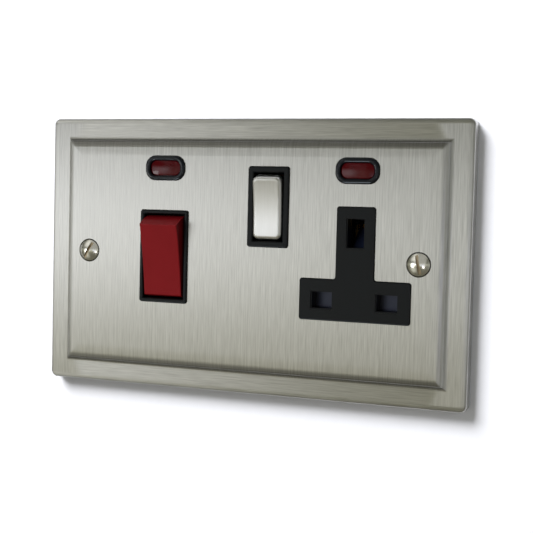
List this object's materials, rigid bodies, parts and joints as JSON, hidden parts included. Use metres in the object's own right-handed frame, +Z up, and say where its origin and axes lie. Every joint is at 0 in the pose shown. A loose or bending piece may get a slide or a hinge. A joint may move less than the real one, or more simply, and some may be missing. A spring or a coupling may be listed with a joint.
{
  "type": "cooker control unit with switched socket",
  "caption": "Wall-mounted cooker control unit: a red rocker switch for the cooker and a switched three-pin socket with lamp windows on a stepped brushed steel plate.",
  "frame": {"origin": "centre of the plate's rear rim, in the plane of the wall", "axes": "+X to the right as seen from the room, +Z up, the front faces -Y and the mechanism stands behind the wall plane towards +Y"},
  "size_m": [0.1536, 0.0307, 0.0936],
  "materials": {
    "brushed_steel": "brushed stainless sheet, lines up and down on the panel and sides, across on the top and bottom borders",
    "screw_steel": "bright turned steel",
    "black_gloss": "moulded black thermoplastic, semi-gloss",
    "red_gloss": "moulded red thermoplastic, semi-gloss",
    "cap_metal": "pressed metal cap, fine satin",
    "red_lens": "clear red moulded lens",
    "lamp_glass": "drawn neon lamp glass",
    "shutter_plastic": "moulded dark grey shutter plastic",
    "peg_plastic": "moulded acetal",
    "spring_steel": "drawn spring wire",
    "brass": "pressed and turned brass",
    "copper": "pressed copper alloy strip",
    "plated_screws": "passivated steel screws",
    "housing_thermoset": "moulded grey-black thermoset"
  },
  "bodies": {
    "unit": {"face_plate": "brushed_steel", "fixing_screws": "screw_steel", "front_moulding": "black_gloss", "cooker_lamp_bezel": "black_gloss", "socket_lamp_bezel": "black_gloss", "cooker_lamp_lens": "red_lens", "socket_lamp_lens": "red_lens", "cooker_lamp": "lamp_glass", "socket_lamp": "lamp_glass", "shutter_spring": "spring_steel", "line_contact": "brass", "neutral_contact": "brass", "earth_contact": "brass", "feed_terminal_line": "brass", "feed_terminal_neutral": "brass", "load_terminal_line": "brass", "load_terminal_neutral": "brass", "line_link": "copper", "neutral_link": "copper", "clamp_screws": "plated_screws", "case_screws": "plated_screws", "rear_housing": "housing_thermoset"},
    "cooker_rocker": {"cooker_rocker": "red_gloss", "cooker_plunger_line": "peg_plastic", "cooker_plunger_neutral": "peg_plastic", "cooker_spring_line": "spring_steel", "cooker_spring_neutral": "spring_steel"},
    "socket_rocker": {"socket_rocker": "black_gloss", "socket_rocker_cap": "cap_metal", "socket_plunger": "peg_plastic", "socket_spring": "spring_steel"},
    "cooker_contact_line": {"cooker_contact_line": "copper"},
    "cooker_contact_neutral": {"cooker_contact_neutral": "copper"},
    "socket_contact": {"socket_contact": "copper"},
    "shutter": {"shutter": "shutter_plastic"}
  },
  "joints": [
    {"name": "cooker_switch", "type": "hinge", "parent": "unit", "child": "cooker_rocker", "pos_m": [-0.0305, -0.0027, -0.001], "axis": [1, 0, 0], "range_deg": [-21, 0]},
    {"name": "socket_switch", "type": "hinge", "parent": "unit", "child": "socket_rocker", "pos_m": [0.0082, -0.0027, 0.0171], "axis": [1, 0, 0], "range_deg": [-8, 0]},
    {"name": "cooker_contact_line_rock", "type": "hinge", "parent": "unit", "child": "cooker_contact_line", "pos_m": [-0.0269, 0.0088, -0.001], "axis": [1, 0, 0], "range_deg": [0, 12]},
    {"name": "cooker_contact_neutral_rock", "type": "hinge", "parent": "unit", "child": "cooker_contact_neutral", "pos_m": [-0.0341, 0.0088, -0.001], "axis": [1, 0, 0], "range_deg": [0, 12]},
    {"name": "socket_contact_rock", "type": "hinge", "parent": "unit", "child": "socket_contact", "pos_m": [0.0082, 0.0088, 0.0171], "axis": [1, 0, 0], "range_deg": [0, 8]},
    {"name": "shutter_slide", "type": "slide", "parent": "unit", "child": "shutter", "axis": [0, 0, -1], "range_m": [0, 0.0062], "stiffness_N_per_m": 60, "springref_m": -0.004, "deforming": ["shutter_spring"]}
  ],
  "couplings": [
    {"joint": "cooker_contact_line_rock", "follows": "cooker_switch", "ratio": -0.5714},
    {"joint": "cooker_contact_neutral_rock", "follows": "cooker_switch", "ratio": -0.5714},
    {"joint": "socket_contact_rock", "follows": "socket_switch", "ratio": -0.9999}
  ]
}
